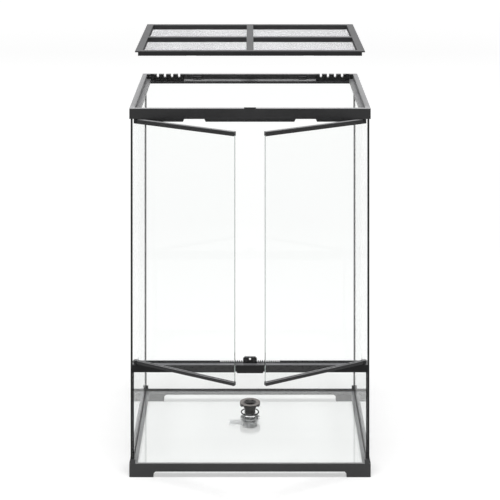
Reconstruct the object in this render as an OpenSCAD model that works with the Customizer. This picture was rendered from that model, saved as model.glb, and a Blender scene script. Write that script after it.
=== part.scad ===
// Tall front-opening glass terrarium: glass box in a moulded base and top frame, two swinging
// doors over a crossbar, a lift-off screen cover and a floor drain. Millimetres, +Z up, +Y to the back.
// The doors stand ajar, and the cover, the drain body and its ring are lifted clear of their seats.

/* [Glass] */
// Outer width of the glass box
glass_w = 600; // [500:10:900]
// Outer depth of the glass box
glass_d = 450; // [400:10:600]
// Thickness of the fixed panes
glass_t = 5; // [4:0.5:6]
// Gap that the silicone fills between two panes
pane_gap = 0.3; // [0.2:0.1:0.5]
// Leg of the silicone bead round the floor
floor_bead = 2; // [1:0.5:5]
// Leg of the silicone beads in the front corners
front_bead = 3; // [2:0.5:4]
// Leg of the silicone beads in the rear corners
rear_bead = 2.5; // [1:0.5:3]
// Thickness of the black strips on the front edges of the side panes
edge_strip_t = 1; // [0.6:0.1:1]

/* [Frames] */
// Overall height of the tank without its cover
tank_h = 925.5; // [800:5:1000]
// How far the base and top frames stand out beyond the glass
frame_out = 3.5; // [3:0.5:5]
// Radius of the upright outer corners of the frames
frame_r = 3; // [1:0.5:3]
// Play of the glass in its grooves and seats, on each side
groove_play = 0.2; // [0.1:0.05:0.3]

/* [Base frame] */
// Height of the base frame
base_h = 34; // [32:1:40]
// Height of the floor pane's underside above the ground
floor_z = 25.5; // [24:0.5:27]
// Thickness of the ledge under the glass
base_ledge_t = 4; // [3:0.5:5]
// Reach of that ledge, from the outer face of the glass inwards
base_ledge_w = 16; // [12:1:20]
// Wall thickness of the skirt below the ledge
skirt_t = 3; // [2:0.5:3]
// Length of each leg of the corner feet
foot_len = 61; // [45:1:80]
// Width of the feet, from the skirt's outer face inwards
foot_w = 14; // [10:1:18]
// Height of the arches between the feet
arch_h = 14; // [10:1:16]
// Chamfer at the upper ends of the arches
arch_chamfer = 5; // [2:1:6]
// Thickness of the corner upstands at their tips
gusset_tip = 0.6; // [0.4:0.1:1]
// Height of the tapered upstands at the corners
gusset_h = 10; // [6:1:14]
// Length of those upstands along each side
gusset_len = 12; // [8:1:20]

/* [Top frame] */
// Height of the top frame
top_h = 26; // [24:1:30]
// Width of the rim along its top
rim_w = 12.5; // [11:0.5:13]
// Depth of the recess that the cover sinks into
recess_h = 13; // [12:0.5:14]
// Width of the front and side ledges under the cover
ledge_w = 10.6; // [10:0.2:12]
// Width of the rear ledge under the cover
rear_ledge_w = 16; // [14:1:20]
// Thickness of the ledges
ledge_t = 9.5; // [7:0.5:10]
// Chamfer along the edge of the rear ledge
ledge_chamfer = 3; // [1:0.5:4]
// Depth of the grooves that take the tops of the panes
groove_h = 5; // [3:0.5:5]
// Height of the door stop lip below the top frame
stop_h = 10.5; // [8:0.5:12]
// Thickness of the stop lip
stop_t = 3; // [2:0.5:4]
// Distance of the stop lip behind the front wall of the recess
stop_back = 3; // [2:0.5:4]
// Half width of the middle stretch of the stop lip
stop_mid = 117; // [80:1:140]
// Distance from the middle to the outer stretches of the lip
stop_side = 164; // [150:1:200]
// Width of the small tab at the middle of the front rim
tab_w = 30; // [20:1:40]
// Height of that tab
tab_h = 3; // [2:0.5:4]
// Thickness of that tab
tab_t = 3.5; // [2:0.5:4]

/* [Cable inlets] */
// Distance of the outermost notch from the outer face of the side pane
notch_in = 39.5; // [38:0.5:42]
// Number of notches on each side
notch_count = 4; // [2:1:4]
// Distance between neighbouring notches
notch_pitch = 20; // [16:1:21]
// Width of each notch
notch_w = 6.2; // [5:0.2:8]
// Depth of each notch
notch_h = 8.7; // [7:0.1:10]
// Thickness of the slides that close the notches
slide_t = 5.5; // [4:0.5:6]
// Solid length of a slide inwards of its first notch
slide_inner = 14; // [14:0.5:16]
// Solid length of a slide outwards of its last notch
slide_outer = 10; // [6:0.5:10]
// How far a slide shifts outwards to close the notches
slide_travel = 10; // [7:0.5:10]
// Gap left at each end of a slide's channel
slide_play = 1; // [0.5:0.1:1.5]
// Running gap round the slides
slide_gap = 0.3; // [0.2:0.05:0.4]
// Height of the solid floor below the slide channels
slide_floor = 6.5; // [6.5:0.5:8]
// Height of the tongue that keeps a slide in its channel
tongue_h = 2.5; // [2:0.5:3]
// Height of the tongue above the underside of the slide
tongue_up = 3; // [2:0.5:4]
// How far the tongue reaches into the wall
tongue_d = 1.5; // [1:0.25:2]

/* [Crossbar] */
// Height of the crossbar's underside above the ground
bar_z = 262.5; // [200:1:320]
// Height of the crossbar
bar_h = 18.5; // [18:0.5:22]
// How far the crossbar's face stands in front of the glass
bar_front = 1.2; // [1:0.1:2]
// Depth of the crossbar behind the glass front
bar_d = 22; // [21:1:30]
// Depth of the ledge in front of the rib
bar_ledge = 11.8; // [11:0.2:12]
// Height of the rib behind the ledge
rib_h = 6; // [4:0.5:8]
// Thickness of the rib
rib_t = 2.5; // [2:0.5:3]
// Gap between the rib and the closed door rails
rib_gap = 2.8; // [2.5:0.1:3]
// Gap between the catch block and the rib on each side
rib_start = 2; // [1:0.5:4]
// Half width of the stretch with vent slots
comb_w = 78; // [50:1:120]
// Distance between vent slots
comb_pitch = 5.5; // [4:0.5:8]
// Width of each vent slot
comb_gap = 2.6; // [1.5:0.1:3]
// Height of the solid foot below the vent slots
comb_foot = 1.8; // [1:0.1:3]

/* [Doors] */
// Distance of the hinge axes from the outer faces of the side panes
hinge_in = 12; // [11:0.5:14]
// Gap between the closed doors
door_gap = 4; // [3:0.5:6]
// How far the doors stand open
door_open = 28.5; // [0:0.5:90]
// Depth of the door rails
rail_d = 9.5; // [8:0.25:9.5]
// Height of the top rails
rail_top_h = 10.5; // [9:0.5:14]
// Height of the bottom rails
rail_bottom_h = 8; // [7:0.5:12]
// Gap between the door rails and the frames above and below them
door_gap_z = 0.3; // [0.2:0.1:0.5]
// Height of the hinge bosses on the crossbar
boss_low_h = 2.3; // [1.5:0.1:3]
// Height of the hinge bosses under the top frame
boss_top_h = 1.2; // [0.8:0.1:2]
// Thickness of the door glass
door_glass_t = 4; // [3:0.5:5]
// Depth of the rail slots that hold the door glass
rail_slot = 5; // [4:0.5:6]
// Length of the hinge ends, measured from the hinge axis
hinge_end = 8; // [7:0.5:12]
// Radius of the hinge pins
pin_r = 2; // [1.5:0.1:2.5]
// Running clearance of the hinge pins in their bores
pin_play = 0.08; // [0.05:0.01:0.1]
// Length of each hinge pin inside its bore
pin_in = 5.5; // [4:0.5:6]
// Length of each hinge pin inside the hinge end
pin_root = 6; // [4:0.5:6]
// Width of the fine groove along the front of the rails
rail_groove = 1; // [0.6:0.1:1.5]

/* [Latch] */
// Half width of the latch plate
latch_w = 36; // [30:1:45]
// Width of the sloped ends of the finger lip
lip_slope = 4; // [2:1:6]
// How far the finger lip hangs below the crossbar
lip_h = 1.5; // [1:0.5:3]
// Thickness of the latch plate
plate_t = 2.4; // [2:0.1:3]
// Half width of the catch block
block_w = 17.4; // [14:0.2:18]
// Height of the catch block above the crossbar
block_h = 15.5; // [14:0.5:20]
// Depth of the catch block
block_d = 6.5; // [5:0.5:7]
// Chamfer at the top corners of the catch block
block_chamfer = 4.5; // [2:0.2:5]
// Gap between the closed doors and the catch block
catch_gap = 0.5; // [0.3:0.1:1]
// Thickness of the web between the plate and the block
web_h = 3.5; // [2.5:0.5:4]
// Wall between the latch pocket and the groove below it
pocket_floor = 1; // [0.8:0.1:1.2]
// Room behind the catch block, into which it rocks
pocket_room = 2.5; // [2.5:0.5:4]
// Running gap round the latch in its pocket
latch_gap = 0.4; // [0.3:0.1:0.6]
// Distance of the latch pin behind the front of the glass
latch_pin_y = 8; // [7:0.5:9]
// Depth of the latch pin below the top of the crossbar
latch_pin_drop = 6; // [5:0.5:6.5]
// Radius of the latch pin
latch_pin_r = 1.5; // [1.2:0.1:2]
// Thickness of plastic round the latch pin
latch_pin_wall = 2; // [1.5:0.1:2]
// How far the latch pin enters the crossbar at each end
latch_pin_in = 5; // [3:0.5:8]
// Radius of the catch magnets
magnet_r = 3.2; // [2.5:0.1:3.4]
// Thickness of the catch magnets
magnet_t = 3; // [2:0.5:4]
// Distance of the magnets from the middle
magnet_x = 10; // [8:0.5:11]
// Radius of the screw head in the catch block
screw_r = 2.6; // [2:0.1:3]
// Height of the screw above the crossbar
screw_up = 11; // [10:0.5:12]
// Thickness of the steel strikes in the bottom rails
strike_t = 1; // [0.6:0.1:1.2]
// Length of the strikes
strike_l = 12; // [8:1:14]
// Distance of the strikes from the free edges of the doors
strike_in = 2; // [1:0.5:4]
// Height of the strikes
strike_h = 6; // [4:0.5:6]

/* [Cover] */
// Play of the cover in the recess, on each side
cover_play = 1; // [0.5:0.1:1.5]
// Height that the cover is lifted above its seat
cover_lift = 142; // [0:5:250]
// Width of the bars of the cover frame
cover_bar = 18; // [16:1:30]
// Thickness of the cover's top plate
cover_plate = 3; // [2:0.5:4]
// Overhang of the top plate beyond the skirt
overhang = 7; // [6:0.5:8]
// Thickness of the skirt and of the webs round the mesh
web_t = 2.5; // [2:0.5:4]
// Thickness of the mesh sheet
mesh_t = 0.8; // [0.4:0.1:1.2]
// Number of openings across the mesh sheet
mesh_nx = 20; // [8:2:24]
// Number of openings from the front to the back of the mesh sheet
mesh_ny = 16; // [6:2:18]
// Width of the strands between the openings
strand_w = 5; // [2:0.5:8]
// Width of the clips behind the cover
clip_w = 22; // [16:1:30]
// Distance from the middle to the clips
clip_x = 148; // [120:1:165]
// Height of the clips
clip_h = 8.5; // [7:0.5:8.5]
// Height of the noses that the clips push into the skirt notches
nose_h = 4; // [3:0.5:5]
// Depth of the blind notches in the front of the skirt
notch_depth = 1.5; // [1:0.1:1.7]
// Play of the clip noses in the notches of the skirt
nose_play = 1; // [0.5:0.1:1.5]
// Gap round the clips and their noses
clip_gap = 0.3; // [0.3:0.1:0.6]

/* [Drain] */
// Radius of the hole in the floor pane
hole_r = 15; // [14.8:0.1:16]
// Distance of the drain behind the middle of the floor
drain_back = 60; // [-60:5:80]
// Radius of the threaded body of the drain
body_r = 14.5; // [13:0.1:14.5]
// Radius of the bore through the drain
bore_r = 11; // [9:0.5:11.5]
// Radius of the funnel at the top of the bore
funnel_r = 17; // [15:0.5:19]
// Radius of the drain flange
flange_r = 27.5; // [26:0.5:32]
// Thickness of the drain flange
flange_t = 4; // [4:0.5:6]
// Length of the drain body below the flange
body_l = 24.3; // [23:0.1:25]
// Height that the drain body is lifted above its seat
drain_lift = 29; // [0:1:120]
// Middle radius of the sealing ring
ring_r = 23.25; // [22.5:0.25:23.25]
// Radius of the sealing ring's section
ring_wire = 1.5; // [1:0.1:1.5]
// Gap above and below the sealing ring when the drain is seated
seal_gap = 0.15; // [0.1:0.05:0.2]
// Height that the sealing ring is lifted above its seat
ring_lift = 8; // [0:1:60]
// Number of tabs under the flange
tab_count = 8; // [4:1:12]
// Gap between the sealing ring and the tabs round it
tab_gap = 0.5; // [0.4:0.1:0.6]
// Inset of the tabs from the edge of the flange
tab_inset = 0.2; // [0.1:0.05:0.4]
// Height of the tabs above the floor when the drain is seated
tab_lift = 0.5; // [0.4:0.1:1]
// Height of the nut under the floor
nut_h = 8; // [6:0.5:9]
// Distance across the flats of the nut
nut_af = 46; // [40:1:60]
// Running gap of the drain body in the nut and the elbow
drain_gap = 0.2; // [0.2:0.05:0.4]
// Outer radius of the elbow's cup
cup_r = 20; // [19:0.5:24]
// Wall thickness of the elbow's cup
cup_t = 2; // [1.5:0.25:2.5]
// Height of the cup's underside above the ground
cup_z = 2; // [1:0.5:2]
// Outer radius of the hose spigot
spigot_r = 6.5; // [5:0.5:6.5]
// Wall thickness of the hose spigot
spigot_t = 2; // [1.5:0.25:2.5]
// Height of the spigot above the underside of the cup
spigot_up = 1; // [0.5:0.1:1]
// Reach of the spigot from the middle of the drain
spigot_l = 56.5; // [50:0.5:80]
// Length of the spigot that the hose slips over
spigot_free = 28; // [20:0.5:28]
// Radius of the thick root that stops the hose
root_r = 7.5; // [7:0.1:7.5]

/* [Hidden] */
$fn = 48;

plastic = "#3d3d3f";
dark_plastic = "#242425";
black_rubber = "#151515";
clear = [0.86, 0.93, 0.94, 0.35];
steel = "#c4c6c8";
drain_brown = "#5a5451";
cut = 1; // how far a cutting solid runs past a face
bore_end = 1; // depth of a bore past the end of its pin

// Glass box
glass_x = glass_w / 2;
inner_x = glass_x - glass_t - pane_gap;
frame_x = glass_x + frame_out;
frame_y = [-frame_out, glass_d + frame_out];
floor_top = floor_z + glass_t;

// Top frame
top_z = tank_h - top_h;
pane_top = top_z + groove_h - pane_gap;
recess_x = frame_x - rim_w;
recess_y = [frame_y[0] + rim_w, frame_y[1] - rim_w];
ledge_z = tank_h - recess_h;
open_x = recess_x - ledge_w;
open_y = [recess_y[0] + ledge_w, recess_y[1] - rear_ledge_w];
notch_last = glass_x - notch_in;
notch_first = notch_last - (notch_count - 1) * notch_pitch;
slide_x = [notch_first - slide_inner, notch_last + slide_outer];
inlet_x = [slide_x[0] - slide_play, slide_x[1] + slide_travel + slide_play];
slide_y = [recess_y[1] + slide_gap, recess_y[1] + slide_gap + slide_t];
slide_z = [top_z + slide_floor, tank_h - slide_gap];
tongue_z = slide_z[0] + tongue_up;

// Doors
bar_top = bar_z + bar_h;
hinge_x = glass_x - hinge_in;
hinge_y = bar_ledge - rib_gap - rail_d / 2;
door_w = hinge_x - door_gap / 2;
door_bottom = bar_top + boss_low_h + door_gap_z;
door_top = top_z - boss_top_h - door_gap_z;
rail_face = rail_d / 2;
top_rail_z = [door_top - rail_top_h, door_top];
bottom_rail_z = [door_bottom, door_bottom + rail_bottom_h];
strike_z = door_bottom + rail_bottom_h / 2;
strike_x = [door_w - strike_in - strike_l, door_w - strike_in];
strike_reach = [strike_z - strike_h / 2, strike_z + strike_h / 2];

// Latch
block_y = hinge_y + rail_face + catch_gap;
block_top = bar_top + block_h;
latch_pin_z = bar_top - latch_pin_drop;
latch_boss_r = latch_pin_r + latch_pin_wall;
pocket_z = bar_z + groove_h + pocket_floor;
plate_y = -groove_play - latch_gap;
pocket_back = block_y + block_d + pocket_room;

// Cover, in its own frame with the middle of its underside at the origin
cover_x = recess_x - cover_play;
cover_half_y = (recess_y[1] - recess_y[0]) / 2 - cover_play;
cover_mid_y = (recess_y[0] + recess_y[1]) / 2;
skirt_x = cover_x - overhang;
skirt_half_y = cover_half_y - overhang;
cover_z = ledge_z + cover_lift;

// Drain
drain_y = glass_d / 2 + drain_back;
flange_seat = floor_top + 2 * (ring_wire + seal_gap);

// The origin is the middle of the footprint with the doors ajar
door_reach = hinge_y - door_w * sin(door_open) - rail_face * cos(door_open);
mid_y = (min(door_reach, frame_y[0]) + frame_y[1]) / 2;

module in_place() { translate([0, -mid_y, 0]) children(); }

// A box given by its limits along each axis
module span(x, y, z) {
    translate([x[0], y[0], z[0]]) cube([x[1] - x[0], y[1] - y[0], z[1] - z[0]]);
}

// A box with round upright edges
module round_span(x, y, z, r) {
    translate([0, 0, z[0]]) linear_extrude(z[1] - z[0]) {
        translate([x[0] + r, y[0]]) square([x[1] - x[0] - 2 * r, y[1] - y[0]]);
        translate([x[0], y[0] + r]) square([x[1] - x[0], y[1] - y[0] - 2 * r]);
        for (cx = [x[0] + r, x[1] - r], cy = [y[0] + r, y[1] - r]) translate([cx, cy]) circle(r);
    }
}

module both_sides() {
    children();
    mirror([1, 0, 0]) children();
}

// A solid with its outline in X and Z, running from y[0] to y[1]
module along_y(y) {
    translate([0, y[1], 0]) rotate([90, 0, 0]) linear_extrude(y[1] - y[0]) children();
}

// A solid with its outline in Y and Z, running from x[0] to x[1]
module along_x(x) {
    translate([x[0], 0, 0]) rotate([90, 0, 90]) linear_extrude(x[1] - x[0]) children();
}

// ---- Base frame ----

// Cuts the space between two feet along the X direction, reach to each side of the middle
module arch(reach, y) {
    along_y(y) polygon([[-reach, -cut], [-reach, arch_h - arch_chamfer], [arch_chamfer - reach, arch_h],
        [reach - arch_chamfer, arch_h], [reach, arch_h - arch_chamfer], [reach, -cut]]);
}

// Section of the corner upstands: distance out from the glass, and height
module gusset_profile() {
    polygon([[groove_play, base_h - cut], [frame_out, base_h - cut], [frame_out, base_h],
        [groove_play + gusset_tip, base_h + gusset_h], [groove_play, base_h + gusset_h]]);
}

module gussets() {
    both_sides() {
        for (y = [[frame_y[0] + frame_r, gusset_len], [glass_d - gusset_len, frame_y[1] - frame_r]])
            along_y(y) translate([glass_x, 0]) gusset_profile();
        along_x([glass_x - gusset_len, frame_x - frame_r]) {
            mirror([1, 0]) gusset_profile();
            translate([glass_d, 0]) gusset_profile();
        }
    }
}

// The L-shaped corner feet, up to the underside of the ledge
module feet() {
    top = floor_z - base_ledge_t + cut;
    edge = 1; // keeps the blocks inside the round corners of the skirt
    both_sides() {
        for (y = [frame_y[0] + edge, frame_y[1] - foot_w])
            span([frame_x - foot_len, frame_x - edge], [y, y + foot_w - edge], [0, top]);
        for (y = [frame_y[0] + edge, frame_y[1] - foot_len])
            span([frame_x - foot_w, frame_x - edge], [y, y + foot_len - edge], [0, top]);
    }
}

module base_frame() {
    ledge_bottom = floor_z - base_ledge_t;
    seat_x = glass_x + groove_play;
    hollow_x = frame_x - skirt_t;
    color(plastic) in_place() difference() {
        union() {
            difference() {
                round_span([-frame_x, frame_x], frame_y, [0, base_h], frame_r);
                span([-hollow_x, hollow_x], [frame_y[0] + skirt_t, frame_y[1] - skirt_t],
                    [-cut, ledge_bottom]);
            }
            feet();
            gussets();
        }
        span([-seat_x, seat_x], [-groove_play, glass_d + groove_play], [floor_z, base_h + gusset_h + cut]);
        span([base_ledge_w - glass_x, glass_x - base_ledge_w], [base_ledge_w, glass_d - base_ledge_w],
            [ledge_bottom - cut, floor_z + cut]);
        arch(frame_x - foot_len, [frame_y[0] - cut, frame_y[1] + cut]);
        translate([0, glass_d / 2, 0]) rotate([0, 0, 90])
            arch(glass_d / 2 + frame_out - foot_len, [-frame_x - cut, frame_x + cut]);
    }
}

// ---- Glass panes and silicone ----

module floor_pane() {
    color(clear) in_place() difference() {
        span([-inner_x, inner_x], [glass_t + pane_gap, glass_d - glass_t - pane_gap], [floor_z, floor_top]);
        translate([0, drain_y, floor_z - cut]) cylinder(h = glass_t + 2 * cut, r = hole_r);
    }
}

module back_pane() {
    color(clear) in_place()
        span([-inner_x, inner_x], [glass_d - glass_t, glass_d], [floor_z, pane_top]);
}

module side_pane() {
    color(clear) in_place()
        span([-glass_x, glass_t - glass_x], [0, glass_d], [floor_z, pane_top]);
}

module left_pane() { side_pane(); }

module right_pane() { mirror([1, 0, 0]) side_pane(); }

module front_pane() {
    color(clear) in_place()
        span([-inner_x, inner_x], [0, glass_t], [floor_z, bar_z + groove_h - pane_gap]);
}

// Section of a silicone bead in a corner at the origin
module bead(leg) { polygon([[0, 0], [leg, 0], [0, leg]]); }

module floor_seal() {
    x = glass_x - glass_t;
    y = [glass_t, glass_d - glass_t];
    color(black_rubber) in_place() {
        along_x([-x, x]) {
            translate([y[0], floor_top]) bead(floor_bead);
            translate([y[1], floor_top]) mirror([1, 0]) bead(floor_bead);
        }
        both_sides() along_y(y) translate([-x, floor_top]) bead(floor_bead);
    }
}

module rear_corner_seals() {
    z = floor_top + floor_bead;
    color(black_rubber) in_place() both_sides()
        translate([glass_t - glass_x, glass_d - glass_t, z]) linear_extrude(top_z - z)
            mirror([0, 1]) bead(rear_bead);
}

module front_corner_seals() {
    z = floor_top + floor_bead;
    color(black_rubber) in_place() both_sides()
        translate([glass_t - glass_x, glass_t, z]) linear_extrude(bar_z - z) bead(front_bead);
}

// The black strip down the front edge of a side pane, parted by the crossbar
module edge_strip() {
    color(black_rubber) in_place() for (z = [[base_h + gusset_h, bar_z], [bar_top, top_z]])
        span([-glass_x, glass_t - glass_x], [-edge_strip_t, 0], z);
}

module left_edge_strip() { edge_strip(); }

module right_edge_strip() { mirror([1, 0, 0]) edge_strip(); }

// ---- Crossbar and latch ----

// The upstand behind the ledge, slotted as a vent near the middle
module rib() {
    inner = block_w + rib_start;
    difference() {
        span([inner, inner_x], [bar_ledge, bar_ledge + rib_t], [bar_top - cut, bar_top + rib_h]);
        for (x = [inner + comb_gap : comb_pitch : comb_w - comb_gap])
            span([x, x + comb_gap], [bar_ledge - cut, bar_ledge + rib_t + cut],
                [bar_top + comb_foot, bar_top + rib_h + cut]);
    }
}

module crossbar() {
    pocket = latch_w + latch_gap;
    pin_reach = pocket + latch_pin_in + bore_end;
    color(plastic) in_place() difference() {
        union() {
            span([-inner_x, inner_x], [0, bar_d], [bar_z, bar_top]);
            span([-glass_x, glass_x], [-bar_front, 0], [bar_z, bar_top]);
            both_sides() {
                rib();
                translate([hinge_x, hinge_y, bar_top - cut]) cylinder(h = boss_low_h + cut, r = rail_face);
            }
        }
        span([-inner_x - cut, inner_x + cut], [-groove_play, glass_t + groove_play],
            [bar_z - cut, bar_z + groove_h]);
        span([-pocket, pocket], [-bar_front - cut, pocket_back], [pocket_z, bar_top + cut]);
        span([-pocket, pocket], [-bar_front - cut, -groove_play], [bar_z - cut, bar_top + cut]);
        both_sides() translate([hinge_x, hinge_y, bar_top + boss_low_h - pin_in - bore_end])
            cylinder(h = pin_in + bore_end + cut, r = pin_r + pin_play);
        translate([-pin_reach, latch_pin_y, latch_pin_z]) rotate([0, 90, 0])
            cylinder(h = 2 * pin_reach, r = latch_pin_r + pin_play);
    }
}

// The plate with its finger lip, the web behind it and the catch block on top, rocking on a pin
module latch_lever() {
    web_z = [bar_top - web_h, bar_top];
    lip = [latch_w - lip_slope, bar_z - lip_h];
    color(dark_plastic) in_place() difference() {
        union() {
            along_y([plate_y - plate_t, plate_y]) polygon([[-latch_w, bar_top], [latch_w, bar_top],
                [latch_w, bar_z + lip_slope], lip, [-lip[0], lip[1]], [-latch_w, bar_z + lip_slope]]);
            span([-latch_w, latch_w], [plate_y - cut, block_y + block_d], web_z);
            span([-latch_w, latch_w], [latch_pin_y - latch_boss_r, latch_pin_y + latch_boss_r],
                [latch_pin_z, bar_top]);
            translate([-latch_w, latch_pin_y, latch_pin_z]) rotate([0, 90, 0])
                cylinder(h = 2 * latch_w, r = latch_boss_r);
            along_y([block_y, block_y + block_d]) polygon([
                [-block_w, bar_top - cut], [block_w, bar_top - cut],
                [block_w, block_top - block_chamfer], [block_w - block_chamfer, block_top],
                [block_chamfer - block_w, block_top], [-block_w, block_top - block_chamfer]]);
        }
        translate([-latch_w - cut, latch_pin_y, latch_pin_z]) rotate([0, 90, 0])
            cylinder(h = 2 * (latch_w + cut), r = latch_pin_r);
        both_sides() translate([magnet_x, block_y - cut, strike_z]) rotate([-90, 0, 0])
            cylinder(h = magnet_t + cut, r = magnet_r);
        translate([0, block_y - cut, bar_top + screw_up]) rotate([-90, 0, 0])
            cylinder(h = block_d + 2 * cut, r = screw_r);
    }
}

module latch_pin() {
    reach = latch_w + latch_gap + latch_pin_in;
    color(steel) in_place() translate([-reach, latch_pin_y, latch_pin_z]) rotate([0, 90, 0])
        cylinder(h = 2 * reach, r = latch_pin_r);
}

module catch_magnets() {
    color(dark_plastic) in_place() both_sides() translate([magnet_x, block_y, strike_z]) rotate([-90, 0, 0])
        cylinder(h = magnet_t, r = magnet_r);
}

module latch_screw() {
    color(steel) in_place() translate([0, block_y, bar_top + screw_up]) rotate([-90, 0, 0]) difference() {
        cylinder(h = block_d, r = screw_r);
        translate([0, 0, -cut]) cylinder(h = cut + screw_r / 2, r = screw_r / 2, $fn = 6);
    }
}

// ---- Top frame ----

// One stretch of the door stop lip, with sloped ends, x[0] to x[1]
module stop_lip(x) {
    y = recess_y[0] + stop_back;
    z = ledge_z - ledge_t;
    bottom = top_z - stop_h;
    slope = stop_h / 2;
    along_y([y, y + stop_t]) polygon([[x[0], top_z], [x[0] + slope, bottom], [x[1] - slope, bottom],
        [x[1], top_z], [x[1], z + cut], [x[0], z + cut]]);
}

// A notch with a round bottom, cut down from the top of the rear rim
module inlet_notches(y) {
    z = tank_h - notch_h + notch_w / 2;
    for (i = [0 : notch_count - 1]) translate([notch_first + i * notch_pitch, 0, z]) {
        span([-notch_w / 2, notch_w / 2], y, [0, notch_h]);
        translate([0, y[0], 0]) rotate([-90, 0, 0]) cylinder(h = y[1] - y[0], r = notch_w / 2);
    }
}

module top_frame() {
    grooves = [top_z - cut, top_z + groove_h];
    seat_x = [inner_x + pane_gap - groove_play, glass_x + groove_play];
    under = [top_z - cut, ledge_z - ledge_t];
    boss_z = top_z - boss_top_h;
    color(plastic) in_place() {
        difference() {
            union() {
                round_span([-frame_x, frame_x], frame_y, [top_z, tank_h], frame_r);
                span([-tab_w / 2, tab_w / 2], [frame_y[0], frame_y[0] + tab_t],
                    [tank_h - cut, tank_h + tab_h]);
                both_sides() translate([hinge_x, hinge_y, boss_z])
                    cylinder(h = boss_top_h + cut, r = rail_face);
            }
            span([-recess_x, recess_x], recess_y, [ledge_z, tank_h + cut]);
            span([-open_x, open_x], open_y, [top_z - cut, ledge_z + cut]);
            span([-recess_x, recess_x], recess_y, under);
            both_sides() {
                span([inlet_x[0], open_x], [open_y[1] - cut, recess_y[1]], [top_z - cut, ledge_z + cut]);
                span(seat_x, [-groove_play, glass_d + groove_play], grooves);
                span(inlet_x, [recess_y[1] - cut, slide_y[1] + slide_gap],
                    [slide_z[0] - slide_gap, tank_h + cut]);
                span([inlet_x[0], inlet_x[1]], [slide_y[1], slide_y[1] + tongue_d + slide_gap],
                    [tongue_z - slide_gap, tongue_z + tongue_h + slide_gap]);
                inlet_notches([recess_y[1] - cut, frame_y[1] + cut]);
                translate([hinge_x, hinge_y, boss_z - cut])
                    cylinder(h = pin_in + bore_end + cut, r = pin_r + pin_play);
            }
            span([-seat_x[1], seat_x[1]], [glass_d - glass_t - groove_play, glass_d + groove_play],
                grooves);
            along_x([-inlet_x[0], inlet_x[0]]) polygon([[open_y[1] - cut, ledge_z - ledge_chamfer],
                [open_y[1], ledge_z - ledge_chamfer], [open_y[1] + ledge_chamfer, ledge_z],
                [open_y[1] + ledge_chamfer, ledge_z + cut], [open_y[1] - cut, ledge_z + cut]]);
        }
        stop_lip([-stop_mid, stop_mid]);
        both_sides() stop_lip([stop_side, hinge_x]);
    }
}

module inlet_slide() {
    color(dark_plastic) in_place() difference() {
        union() {
            span(slide_x, slide_y, slide_z);
            span(slide_x, [slide_y[1] - cut, slide_y[1] + tongue_d], [tongue_z, tongue_z + tongue_h]);
        }
        inlet_notches([slide_y[0] - cut, slide_y[1] + tongue_d + cut]);
    }
}

module left_inlet_slide() { mirror([1, 0, 0]) inlet_slide(); }

module right_inlet_slide() { inlet_slide(); }

module cover_clips() {
    y = [recess_y[1] - cover_play - overhang + clip_gap, recess_y[1]];
    color(dark_plastic) in_place() both_sides() translate([clip_x, 0, 0]) {
        span([-clip_w / 2, clip_w / 2], y, [ledge_z, ledge_z + clip_h]);
        span([-clip_w / 2, clip_w / 2], [y[0] - web_t, y[0] + cut], [ledge_z, ledge_z + nose_h]);
    }
}

// ---- Screen cover ----

module at_cover() { in_place() translate([0, cover_mid_y, cover_z]) children(); }

// Limits of one of the four windows, in the quarter with positive X and Y
function window_x(inset) = [cover_bar / 2 - inset, cover_x - cover_bar + inset];
function window_y(inset) = [cover_bar / 2 - inset, cover_half_y - cover_bar + inset];

module cover_frame() {
    plate_z = recess_h - cover_plate;
    notch_x = [clip_x - clip_w / 2 - nose_play, clip_x + clip_w / 2 + nose_play];
    notch_top = nose_h + nose_play;
    color(plastic) at_cover() difference() {
        union() {
            span([-cover_x, cover_x], [-cover_half_y, cover_half_y], [plate_z, recess_h]);
            difference() {
                span([-skirt_x, skirt_x], [-skirt_half_y, skirt_half_y], [0, plate_z + cut]);
                span([web_t - skirt_x, skirt_x - web_t],
                    [web_t - skirt_half_y, skirt_half_y - web_t], [-cut, plate_z]);
            }
            for (flip = [0, 1]) both_sides() mirror([0, flip, 0])
                span(window_x(web_t), window_y(web_t), [mesh_t, plate_z + cut]);
        }
        both_sides() {
            for (flip = [0, 1]) mirror([0, flip, 0])
                span(window_x(0), window_y(0), [-cut, recess_h + cut]);
            span(notch_x, [skirt_half_y - web_t - cut, skirt_half_y + cut], [-cut, notch_top]);
            span(notch_x, [-skirt_half_y - cut, notch_depth - skirt_half_y], [-cut, notch_top]);
        }
    }
}

// Limits of opening i of n in a row that fills the field from w[0] to w[1]
function cell(w, n, i) = let(pitch = (w[1] - w[0] + strand_w) / n)
    [w[0] + i * pitch, w[0] + (i + 1) * pitch - strand_w];

// One sheet with a plain grid of openings in each of the four fields
module cover_mesh() {
    x = skirt_x - web_t;
    y = skirt_half_y - web_t;
    n = [mesh_nx / 2, mesh_ny / 2];
    color("#9a9c9e") at_cover() difference() {
        span([-x, x], [-y, y], [0, mesh_t]);
        for (flip = [0, 1]) both_sides() mirror([0, flip, 0])
            for (i = [0 : n[0] - 1], j = [0 : n[1] - 1])
                span(cell(window_x(0), n[0], i), cell(window_y(0), n[1], j), [-cut, mesh_t + cut]);
    }
}

// ---- Floor drain ----

module at_drain(z) { in_place() translate([0, drain_y, z]) children(); }

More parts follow.
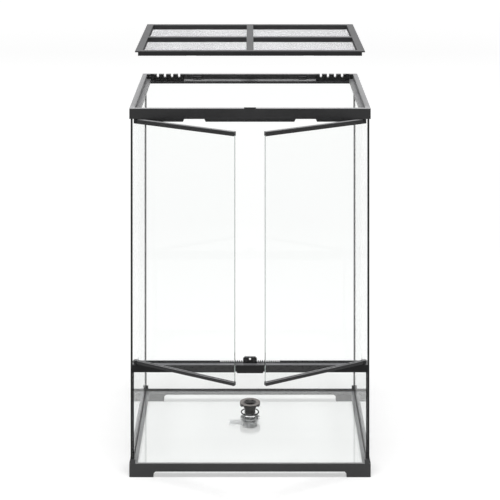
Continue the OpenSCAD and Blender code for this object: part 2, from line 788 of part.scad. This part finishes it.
module drain_body() {
    tab_r = [ring_r + ring_wire + tab_gap, flange_r - tab_inset];
    tab_l = flange_seat - floor_top - tab_lift;
    color(drain_brown) at_drain(flange_seat + drain_lift) difference() {
        union() {
            cylinder(h = flange_t, r = flange_r);
            translate([0, 0, -body_l]) cylinder(h = body_l + cut, r = body_r);
            difference() {
                translate([0, 0, -tab_l]) cylinder(h = tab_l + cut, r = tab_r[1]);
                translate([0, 0, -tab_l - cut]) cylinder(h = tab_l + cut, r = tab_r[0]);
                for (i = [0 : tab_count - 1]) rotate([0, 0, 360 * i / tab_count])
                    span([-flange_r, flange_r], [-flange_r / tab_count, flange_r / tab_count],
                        [-tab_l - cut, 0]);
            }
        }
        translate([0, 0, -body_l - cut]) cylinder(h = body_l + flange_t + 2 * cut, r = bore_r);
        rotate_extrude() polygon([[0, flange_t - funnel_r + bore_r], [bore_r, flange_t - funnel_r + bore_r],
            [funnel_r, flange_t], [funnel_r, flange_t + cut], [0, flange_t + cut]]);
    }
}

module drain_ring() {
    color(black_rubber) at_drain(floor_top + seal_gap + ring_wire + ring_lift) rotate_extrude()
        translate([ring_r, 0]) circle(ring_wire);
}

module drain_nut() {
    color(dark_plastic) at_drain(floor_z - nut_h) difference() {
        cylinder(h = nut_h, r = nut_af / 2 / cos(30), $fn = 6);
        translate([0, 0, -cut]) cylinder(h = nut_h + 2 * cut, r = body_r + drain_gap);
    }
}

module drain_elbow() {
    top = floor_z - nut_h;
    spigot_z = cup_z + spigot_up + spigot_r;
    color(dark_plastic) in_place() translate([0, drain_y, 0]) difference() {
        union() {
            translate([0, 0, cup_z]) cylinder(h = top - cup_z, r = cup_r);
            translate([-spigot_l, 0, spigot_z]) rotate([0, 90, 0]) cylinder(h = spigot_l, r = spigot_r);
            translate([spigot_free - spigot_l, 0, spigot_z]) rotate([0, 90, 0])
                cylinder(h = spigot_l - spigot_free, r = root_r);
        }
        translate([0, 0, cup_z + cup_t]) cylinder(h = top - cup_z - 2 * cup_t, r = cup_r - cup_t);
        translate([0, 0, cup_z + cup_t]) cylinder(h = top - cup_z, r = body_r + drain_gap);
        translate([-spigot_l - cut, 0, spigot_z]) rotate([0, 90, 0])
            cylinder(h = spigot_l + cut, r = spigot_r - spigot_t);
    }
}

// ---- Doors ----

// Puts a door piece drawn with its hinge axis at the origin, closed along +X, at the left hinge
module at_door() {
    in_place() translate([-hinge_x, hinge_y, 0]) rotate([0, 0, -door_open]) children();
}

module door_glass() {
    z = [bottom_rail_z[1] - rail_slot, top_rail_z[0] + rail_slot];
    color(clear) at_door() span([hinge_end, door_w], [-door_glass_t / 2, door_glass_t / 2], z);
}

// A rail from the hinge end to the free edge, slotted for the glass above or below
module rail(z, slot_z) {
    middle = (z[0] + z[1]) / 2;
    half_slot = door_glass_t / 2 + groove_play / 2;
    difference() {
        span([hinge_end, door_w], [-rail_face, rail_face], z);
        span([hinge_end - cut, door_w + cut], [-half_slot, half_slot], slot_z);
        span([hinge_end - cut, door_w + cut], [-rail_face - cut, rail_groove / 2 - rail_face],
            [middle - rail_groove / 2, middle + rail_groove / 2]);
    }
}

module top_rail() {
    color(plastic) at_door() rail(top_rail_z, [top_rail_z[0] - cut, top_rail_z[0] + rail_slot]);
}

module bottom_rail() {
    color(plastic) at_door() difference() {
        rail(bottom_rail_z, [bottom_rail_z[1] - rail_slot, bottom_rail_z[1] + cut]);
        span(strike_x, [rail_face - strike_t, rail_face + cut], strike_reach);
    }
}

module strike() {
    color(steel) at_door()
        span(strike_x, [rail_face - strike_t, rail_face], strike_reach);
}

// The round black ends of the two rails, drilled for the hinge pins
module hinge_ends() {
    color(dark_plastic) at_door() {
        for (z = [bottom_rail_z, top_rail_z]) {
            hole = z == top_rail_z ? z[1] - pin_root : z[0] - cut;
            difference() {
                union() {
                    translate([0, 0, z[0]]) cylinder(h = z[1] - z[0], r = rail_face);
                    span([0, hinge_end], [-rail_face, rail_face], z);
                }
                translate([0, 0, hole]) cylinder(h = pin_root + cut, r = pin_r);
            }
        }
    }
}

module hinge_pins() {
    color(steel) at_door() for (z = [door_bottom - door_gap_z - pin_in, door_top - pin_root])
        translate([0, 0, z]) cylinder(h = pin_root + door_gap_z + pin_in, r = pin_r);
}

module left_door_glass() { door_glass(); }
module left_top_rail() { top_rail(); }
module left_bottom_rail() { bottom_rail(); }
module left_hinge_ends() { hinge_ends(); }
module left_hinge_pins() { hinge_pins(); }
module left_strike() { strike(); }

module right_door_glass() { mirror([1, 0, 0]) door_glass(); }
module right_top_rail() { mirror([1, 0, 0]) top_rail(); }
module right_bottom_rail() { mirror([1, 0, 0]) bottom_rail(); }
module right_hinge_ends() { mirror([1, 0, 0]) hinge_ends(); }
module right_hinge_pins() { mirror([1, 0, 0]) hinge_pins(); }
module right_strike() { mirror([1, 0, 0]) strike(); }

base_frame();
floor_pane();
back_pane();
left_pane();
right_pane();
front_pane();
floor_seal();
rear_corner_seals();
front_corner_seals();
left_edge_strip();
right_edge_strip();
crossbar();
latch_lever();
latch_pin();
catch_magnets();
latch_screw();
top_frame();
cover_clips();
left_inlet_slide();
right_inlet_slide();
cover_frame();
cover_mesh();
drain_body();
drain_ring();
drain_nut();
drain_elbow();
left_door_glass();
left_top_rail();
left_bottom_rail();
left_hinge_ends();
left_hinge_pins();
left_strike();
right_door_glass();
right_top_rail();
right_bottom_rail();
right_hinge_ends();
right_hinge_pins();
right_strike();
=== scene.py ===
"""Looks of a tall glass terrarium: plastics, glass, silicone, metal, the woven cover mesh and the studio."""

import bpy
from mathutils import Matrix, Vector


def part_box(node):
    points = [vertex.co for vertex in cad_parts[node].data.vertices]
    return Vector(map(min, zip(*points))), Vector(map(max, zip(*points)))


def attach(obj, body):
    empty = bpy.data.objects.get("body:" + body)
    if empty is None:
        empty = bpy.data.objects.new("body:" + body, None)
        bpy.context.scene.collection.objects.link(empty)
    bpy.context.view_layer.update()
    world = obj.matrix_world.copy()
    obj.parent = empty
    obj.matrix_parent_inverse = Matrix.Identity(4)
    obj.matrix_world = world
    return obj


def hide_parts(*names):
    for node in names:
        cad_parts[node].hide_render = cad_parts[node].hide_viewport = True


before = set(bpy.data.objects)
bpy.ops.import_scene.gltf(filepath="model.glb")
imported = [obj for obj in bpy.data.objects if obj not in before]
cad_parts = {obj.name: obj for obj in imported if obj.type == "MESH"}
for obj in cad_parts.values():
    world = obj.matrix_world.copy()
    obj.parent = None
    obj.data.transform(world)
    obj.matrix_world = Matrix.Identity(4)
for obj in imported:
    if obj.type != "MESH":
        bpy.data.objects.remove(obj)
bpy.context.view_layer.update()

import math

import bpy
import numpy as np
from mathutils import Matrix

scene = bpy.context.scene


# ---- Base frame, crossbar and top frame ----
# Charcoal ABS mouldings with square corners and a fine spark-eroded grain. The base carries the panes in
# a rebate, the crossbar closes the low front pane, and the top frame is pushed down over the glass. Faces
# that look up are painted paler as painted light from above, and the crossbar is painted darker as painted
# shade.

def add(tree, kind, inputs=(), **settings):
    """A node with its settings and its inputs, each a value or the output of another node."""
    node = tree.nodes.new(kind)
    for key, value in settings.items():
        setattr(node, key, value)
    for key, value in dict(inputs).items():
        socket = node.inputs[key]
        if isinstance(value, bpy.types.NodeSocket):
            tree.links.new(value, socket)
        else:
            socket.default_value = value
    return node


def worked(tree, operation, *values):
    """The result of a Math node on one or two values."""
    return add(tree, "ShaderNodeMath", enumerate(values), operation=operation).outputs["Value"]


def noise(tree, where, scale, detail, low, high, common=(0.3, 0.7)):
    """Noise of that scale, in waves per metre, whose common values are stretched to run from low to high."""
    wave = add(tree, "ShaderNodeTexNoise", {"Vector": where, "Scale": scale, "Detail": detail})
    return add(tree, "ShaderNodeMapRange",
               {"Value": wave.outputs["Fac"], "From Min": common[0], "From Max": common[1],
                "To Min": low, "To Max": high}).outputs["Result"]


def marks(name, tone, rough, relief, height, edge=0.0, painted_top_light=0.0, top_light_from=0.75):
    """A shared pattern on object coordinates. Tone and rough are (waves per metre, low, high), relief is
    waves per metre with its height in metres, and edge is the radius that sharp edges are softened to.
    The last two numbers paint light from above: the first is the share by which a face that looks straight
    up is painted paler, and the second is the upward part of the normal at which that painted light fades
    out."""
    group = bpy.data.node_groups.new(name, "ShaderNodeTree")
    for output, kind in (("Tone", "Float"), ("Rough", "Float"), ("Normal", "Vector")):
        group.interface.new_socket(output, in_out="OUTPUT", socket_type=f"NodeSocket{kind}")
    place = add(group, "ShaderNodeTexCoord")
    at = place.outputs["Object"]
    up = add(group, "ShaderNodeSeparateXYZ", {"Vector": place.outputs["Normal"]}).outputs["Z"]
    # Faces that look up are painted paler here: painted light from above.
    painted_paling = add(group, "ShaderNodeMapRange", {"Value": up, "From Min": top_light_from, "To Min": 1.0,
                                                "To Max": 1.0 + painted_top_light}).outputs["Result"]
    mottle = noise(group, at, tone[0], detail=3.0, low=tone[1], high=tone[2])
    wear = noise(group, at, rough[0], detail=3.0, low=rough[1], high=rough[2])
    pits = noise(group, at, relief, detail=2.0, low=0.0, high=1.0)
    bump = add(group, "ShaderNodeBump", {"Strength": 0.25, "Distance": height, "Height": pits})
    if edge:
        softened = add(group, "ShaderNodeBevel", {"Radius": edge}, samples=4)
        group.links.new(softened.outputs["Normal"], bump.inputs["Normal"])
    add(group, "NodeGroupOutput", {"Tone": worked(group, "MULTIPLY", mottle, painted_paling), "Rough": wear,
                                   "Normal": bump.outputs["Normal"]})
    return group


# The colour sockets of a Mix node, by place: its sockets for numbers and vectors have the same names.
colour_a, colour_b, colour_out = 6, 7, 2


def finish(name, colour, rough, pattern, **more):
    """A Principled material whose colour, roughness and normal carry the marks of a shared pattern."""
    material = bpy.data.materials.new(name)
    material.use_nodes = True
    tree = material.node_tree
    shader = tree.nodes["Principled BSDF"]
    for key, value in more.items():
        shader.inputs[key.replace("_", " ")].default_value = value
    marked = add(tree, "ShaderNodeGroup", node_tree=pattern).outputs
    toned = add(tree, "ShaderNodeMix", {colour_a: (*colour, 1), colour_b: marked["Tone"], "Factor": 1.0},
                data_type="RGBA", blend_type="MULTIPLY")
    tree.links.new(toned.outputs[colour_out], shader.inputs["Base Color"])
    tree.links.new(worked(tree, "MULTIPLY", marked["Rough"], rough), shader.inputs["Roughness"])
    tree.links.new(marked["Normal"], shader.inputs["Normal"])
    return material


def dress(material, *names):
    """Gives CAD nodes a material."""
    for name in names:
        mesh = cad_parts[name].data
        mesh.materials.clear()
        mesh.materials.append(material)


def moulded(name, painted_top_light):
    """The grain that a spark-eroded mould leaves, with that share of painted light from above on the faces
    that look up.
    """
    return marks(name, tone=(35.0, 0.96, 1.04), rough=(14.0, 0.96, 1.04), relief=1400.0, height=0.00003,
                 edge=0.0006, painted_top_light=painted_top_light)


# Faces that look up are painted paler, as painted light from above; the dark mouldings get far more of it,
# which paints the light on their ledges.
grain = moulded("moulded_grain_top_lit", painted_top_light=5.0)
dark_grain_top_lit = moulded("dark_grain_top_lit", painted_top_light=17.0)
frame_plastic = finish("frame_plastic", colour=(0.043, 0.043, 0.0443), rough=0.36, pattern=grain,
                       Specular_IOR_Level=0.22, Sheen_Weight=0.25, Sheen_Roughness=0.4)
base_plastic = finish("base_plastic", colour=(0.047, 0.047, 0.0484), rough=0.36, pattern=grain,
                      Specular_IOR_Level=0.35, Sheen_Weight=0.25, Sheen_Roughness=0.4)
# The crossbar is the same plastic as the frames, painted much darker as painted shade.
crossbar_painted_darker = finish("crossbar_painted_darker", colour=(0.011, 0.011, 0.0117), rough=0.36, pattern=dark_grain_top_lit,
                          Specular_IOR_Level=0.17, Sheen_Weight=0.1, Sheen_Roughness=0.4)
dress(frame_plastic, "top_frame")
dress(base_plastic, "base_frame")
dress(crossbar_painted_darker, "crossbar")


# ---- Fixed panes ----
# Five panes of clear float glass with a faint green tint, held by the frames and by silicone. Light that
# falls on what stands behind a pane passes straight through it. The glass bends light less than real
# glass does, which keeps the mirror images on it faint.

float_face = marks("float_face", tone=(3.0, 0.995, 1.0), rough=(3.0, 0.9, 1.0), relief=2.0, height=0.000002)
glass_green = (0.966, 0.973, 0.969)
shade_green = (0.993, 0.996, 0.994)


def glass(name, bend, gloss):
    """Clear glass for what the eye and mirrors see, and an open pane for shadows and soft light. Bend is
    the index of refraction."""
    material = finish(name, colour=glass_green, rough=0.0, pattern=float_face,
                      Transmission_Weight=1.0, IOR=bend, Specular_IOR_Level=gloss)
    tree = material.node_tree
    path = add(tree, "ShaderNodeLightPath").outputs
    soft = worked(tree, "MAXIMUM", path["Is Shadow Ray"], path["Is Diffuse Ray"])
    open_pane = add(tree, "ShaderNodeBsdfTransparent", {"Color": (*shade_green, 1)})
    either = add(tree, "ShaderNodeMixShader", {0: soft, 1: tree.nodes["Principled BSDF"].outputs["BSDF"],
                                               2: open_pane.outputs["BSDF"]})
    tree.links.new(either.outputs["Shader"], tree.nodes["Material Output"].inputs["Surface"])
    return material


dress(glass("pane_glass", bend=1.33, gloss=0.25), "floor_pane", "left_pane", "right_pane")
dress(glass("thin_glass", bend=1.25, gloss=0.1), "back_pane", "front_pane")


# ---- Silicone beads and edge strips ----
# Silicone tooled by hand up the corners and round the floor pane, black, with the thin rear corners painted
# a paler grey as painted light, and two black strips stuck on the front edges of the side panes.

tooled = marks("tooled_bead", tone=(60.0, 0.85, 1.15), rough=(40.0, 0.85, 1.15), relief=90.0, height=0.0004)
dress(finish("silicone", colour=(0.004, 0.004, 0.004), rough=0.36, pattern=tooled, Specular_IOR_Level=0.25),
      "floor_seal", "front_corner_seals", "left_edge_strip", "right_edge_strip")
# The rear corners are the same black silicone, painted a paler grey as painted light.
dress(finish("rear_silicone_painted_paler", colour=(0.06, 0.06, 0.061), rough=0.36, pattern=tooled,
             Specular_IOR_Level=0.25), "rear_corner_seals")


# ---- Latch ----
# A rocking lever of darker, smoother plastic on a steel pin, with two ferrite magnets and a screw in
# the block that the doors close against.

# Its upward faces are painted much paler, as painted light from above.
fitting_plastic = finish("fitting_plastic", colour=(0.007, 0.007, 0.0074), rough=0.34, pattern=dark_grain_top_lit,
                         Specular_IOR_Level=0.25)
turned = marks("turning_marks", tone=(300.0, 0.9, 1.05), rough=(500.0, 0.8, 1.2), relief=2500.0,
               height=0.00003)
steel = finish("steel", colour=(0.56, 0.57, 0.58), rough=0.3, pattern=turned, Metallic=1.0)
dress(fitting_plastic, "latch_lever")
dress(steel, "latch_pin")
dress(finish("magnet_ferrite", colour=(0.018, 0.018, 0.019), rough=0.5, pattern=turned), "catch_magnets")
dress(finish("chrome", colour=(0.8, 0.8, 0.8), rough=0.09, pattern=turned, Metallic=1.0), "latch_screw")


# ---- Cable inlet slides and cover clips ----
# Small parts in the rear rim of the top frame, moulded in the fitting plastic. The slides close the
# notches for cables, and the clips catch the cover by notches in its skirt.

dress(fitting_plastic, "left_inlet_slide", "right_inlet_slide", "cover_clips")


# ---- Doors ----
# Each glass is gripped by a moulded rail at its head and its foot, turns on steel pins in the plastic
# ends, and carries a steel strike for the catch magnets. Its edges are ground, and look darker.

face_x, face_y = 0.484, 0.875
face_share = 0.93
rim_green = (0.12, 0.15, 0.14)


def darken_rims(material):
    """Gives the ground edges of door glass their own colour. The doors rest ajar, so their broad faces look
    along (face_x, face_y) and (-face_x, face_y). A face is an edge where its cosine to the nearer of the
    two, either way round, is under face_share."""
    tree = material.node_tree
    normal = add(tree, "ShaderNodeTexCoord").outputs["Normal"]
    cosines = [add(tree, "ShaderNodeVectorMath", {0: normal, 1: (x, face_y, 0.0)}, operation="DOT_PRODUCT")
               for x in (face_x, -face_x)]
    left, right = [worked(tree, "ABSOLUTE", cosine.outputs["Value"]) for cosine in cosines]
    edge = worked(tree, "LESS_THAN", worked(tree, "MAXIMUM", left, right), face_share)
    green = add(tree, "ShaderNodeMix", {"Factor": edge, colour_a: (*glass_green, 1),
                                        colour_b: (*rim_green, 1)}, data_type="RGBA")
    tree.links.new(green.outputs[colour_out], tree.nodes["Principled BSDF"].inputs["Base Color"])


door_glass = glass("door_glass", bend=1.25, gloss=0.1)
darken_rims(door_glass)
dress(door_glass, "left_door_glass", "right_door_glass")
dress(frame_plastic, "left_top_rail", "left_bottom_rail", "right_top_rail", "right_bottom_rail")
dress(fitting_plastic, "left_hinge_ends", "right_hinge_ends")
dress(steel, "left_hinge_pins", "right_hinge_pins", "left_strike", "right_strike")


# ---- Floor drain ----
# A brown-grey threaded body with its flange and rubber ring, and below it a clear nut and a milky elbow
# with a hose spigot, both faintly frosted.

# Its upward faces, such as the flange top, are painted paler as painted light from above.
dress(finish("drain_plastic", colour=(0.028, 0.0245, 0.023), rough=0.42, pattern=grain,
             Specular_IOR_Level=0.3), "drain_body")
dress(finish("clear_nut", colour=(0.95, 0.955, 0.96), rough=0.3, pattern=tooled,
             Transmission_Weight=0.9, IOR=1.08), "drain_nut")
dress(finish("milky_elbow", colour=(0.84, 0.845, 0.85), rough=0.4, pattern=tooled,
             Transmission_Weight=0.8, IOR=1.1), "drain_elbow")
dress(finish("seal_rubber", colour=(0.012, 0.012, 0.012), rough=0.7, pattern=tooled,
             Specular_IOR_Level=0.25), "drain_ring")


# ---- Cover frame ----
# The lift-off cover: a flat moulded grid of four fields on a low skirt that seats on a ledge inside the
# top frame. Its plastic is duller, and its upward faces are painted only a little paler as painted light
# from above.

dress(finish("cover_plastic", colour=(0.045, 0.045, 0.0465), rough=0.6,
             pattern=moulded("cover_grain_top_lit", painted_top_light=0.6), Specular_IOR_Level=0.22), "cover_frame")


# ---- Cover mesh ----
# Four fields of plain-woven aluminium wire, one sheet clamped between the skirt and the webs that
# stand round each field.

pitch = 0.0025
wire_r = 0.0002
rise = 0.9 * wire_r  # under one radius, which keeps the sheet clear of the ledge under the cover
mesh_metal = finish("mesh_metal", colour=(0.48, 0.48, 0.49), rough=0.4, pattern=turned, Metallic=0.6)


def woven(lanes, crossings, flip, z):
    """Wires that run along x: lanes are their places on y, and crossings are the places on x where other
    wires cross them. At each crossing a wire stands rise above or below z by turns, out of step with its
    neighbour, and flip swaps above and below. A ring of four points stands one wire radius out round each
    crossing, and four faces join it to the next ring."""
    n, m = len(lanes), len(crossings)
    i, j = np.meshgrid(np.arange(n), np.arange(m), indexing="ij")
    height = z + rise * np.where((i + j + flip) % 2 == 0, 1.0, -1.0)
    rings = np.empty((n, m, 4, 3))
    for k, (dy, dz) in enumerate(((wire_r, 0), (0, wire_r), (-wire_r, 0), (0, -wire_r))):
        rings[:, :, k, 0] = crossings[None, :]
        rings[:, :, k, 1] = lanes[:, None] + dy
        rings[:, :, k, 2] = height + dz
    index = np.arange(n * m * 4).reshape(n, m, 4)
    a, b = index[:, :-1], index[:, 1:]
    faces = np.stack([a, b, np.roll(b, -1, axis=2), np.roll(a, -1, axis=2)], axis=-1).reshape(-1, 4)
    return rings.reshape(-1, 3), faces


def piece(name, points, faces, body, material):
    """A smooth mesh from an array of points and an array of faces, riding on a CAD body."""
    mesh = bpy.data.meshes.new(name)
    mesh.from_pydata(points.tolist(), [], faces.tolist())
    mesh.polygons.foreach_set("use_smooth", np.full(len(mesh.polygons), True))
    mesh.materials.append(material)
    obj = bpy.data.objects.new(name, mesh)
    scene.collection.objects.link(obj)
    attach(obj, body)
    return obj


low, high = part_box("cover_mesh")
middle = [(a + b) / 2 for a, b in zip(low, high)]
for side, x0, x1 in (("left", low[0], middle[0]), ("right", middle[0], high[0])):
    for end, y0, y1 in (("front", low[1], middle[1]), ("rear", middle[1], high[1])):
        xs = np.arange(x0 + pitch / 2, x1, pitch)
        ys = np.arange(y0 + pitch / 2, y1, pitch)
        weft, weft_faces = woven(ys, xs, 0, middle[2])
        warp, warp_faces = woven(xs, ys, 1, middle[2])
        # The warp swaps its x and y, which turns it inside out, so its faces are listed backwards.
        points = np.concatenate([weft, warp[:, [1, 0, 2]]])
        faces = np.concatenate([weft_faces, warp_faces[:, ::-1] + len(weft)])
        field = piece(f"mesh_{side}_{end}", points, faces, "cover", mesh_metal)
        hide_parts("cover_mesh")


# ---- Studio ----
# A wide white floor and surround, which the eye, mirrors and glass see as plain white, and two broad
# lamps: one high overhead, a little in front of the middle, and one behind.

floor_reach, floor_drop = 40.0, 0.0003  # half its width, and how far it lies under the feet
floor_grey = (0.55, 0.55, 0.55)
white = (1, 1, 1, 1)


def white_for_sight(tree, low, high):
    """A value that is high for what the eye, mirrors and glass see, and low for soft light."""
    path = add(tree, "ShaderNodeLightPath").outputs
    seen = worked(tree, "MAXIMUM", path["Is Camera Ray"], path["Is Glossy Ray"])
    seen = worked(tree, "MAXIMUM", seen, path["Is Transmission Ray"])
    return add(tree, "ShaderNodeMapRange", {"Value": seen, "To Min": low, "To Max": high}).outputs["Result"]


corners = [(x * floor_reach, y * floor_reach, -floor_drop) for x, y in ((-1, -1), (1, -1), (1, 1), (-1, 1))]
ground = bpy.data.meshes.new("floor")
ground.from_pydata(corners, [], [(0, 1, 2, 3)])
floor = bpy.data.objects.new("floor", ground)
scene.collection.objects.link(floor)
paper = bpy.data.materials.new("paper")
paper.use_nodes = True
paper_tree = paper.node_tree
matt = paper_tree.nodes["Principled BSDF"]
matt.inputs["Base Color"].default_value = (*floor_grey, 1)
matt.inputs["Roughness"].default_value = 1.0
matt.inputs["Specular IOR Level"].default_value = 0.0
matt.inputs["Emission Color"].default_value = white
# The paper glows more with distance, in metres, to make up for the lamplight that fades with it.
spot = add(paper_tree, "ShaderNodeTexCoord").outputs["Object"]
away = add(paper_tree, "ShaderNodeVectorMath", {0: spot}, operation="LENGTH").outputs["Value"]
glow = add(paper_tree, "ShaderNodeMapRange", {"Value": away, "From Min": 2.0, "From Max": 11.5,
                                              "To Min": 0.463, "To Max": 1.02}).outputs["Result"]
glow = worked(paper_tree, "MULTIPLY", glow, white_for_sight(paper_tree, 0.0, 1.0))
paper_tree.links.new(glow, matt.inputs["Emission Strength"])
ground.materials.append(paper)

world = bpy.data.worlds.new("surround")
scene.world = world
world.use_nodes = True
backing = world.node_tree.nodes["Background"]
backing.inputs["Color"].default_value = white
world.node_tree.links.new(white_for_sight(world.node_tree, 0.25, 1.0), backing.inputs["Strength"])


def lamp(name, place, aim, size, power):
    """A broad area lamp at a place, turned towards a point. Its back is the unit vector from the point to
    the place, its right is level and square to that, and its top is square to both."""
    light = bpy.data.lights.new(name, "AREA")
    light.shape, light.size, light.size_y, light.energy = "RECTANGLE", *size, power
    obj = bpy.data.objects.new(name, light)
    scene.collection.objects.link(obj)
    back = np.subtract(place, aim)
    back /= np.linalg.norm(back)
    right = np.cross([0, 0, 1], back)
    right /= np.linalg.norm(right)
    obj.matrix_world = Matrix(np.column_stack([right, np.cross(back, right), back]).tolist()).to_4x4()
    obj.location = place


lamp("top_lamp", place=(0.0, -0.8, 7.0), aim=(0, 0, 0), size=(1.5, 1.5), power=430)
lamp("rear_lamp", place=(0.0, 4.2, 2.9), aim=(0, 0, 0.5), size=(7.0, 4.4), power=32)


# ---- Camera ----
# A shift camera: it looks level, and its image plane is slid down. The slide is a shear of the camera's
# own axes, held in its parent's inverse, so that the plane of the image stays upright.

slide = 0.31775  # how far the middle of the view falls for each metre ahead
lens_mm, sensor_mm = 101.97, 36
rig_place = (0.0, -3.7186, 1.7007)
nearest, farthest = 0.05, 200

rig = bpy.data.objects.new("camera_rig", None)
scene.collection.objects.link(rig)
rig.location = rig_place
lens = bpy.data.cameras.new("camera")
lens.sensor_width = sensor_mm
lens.lens = lens_mm * math.sqrt(1 + slide ** 2)
lens.clip_start, lens.clip_end = nearest, farthest
camera = bpy.data.objects.new("camera", lens)
scene.collection.objects.link(camera)
camera.parent = rig
camera.rotation_euler = (math.pi / 2, 0, 0)
camera.matrix_parent_inverse = Matrix(((1, 0, 0, 0), (0, 1, 0, 0), (0, -slide, 1, 0), (0, 0, 0, 1)))
scene.camera = camera
scene.view_settings.view_transform = "Standard"

bpy.context.view_layer.update()
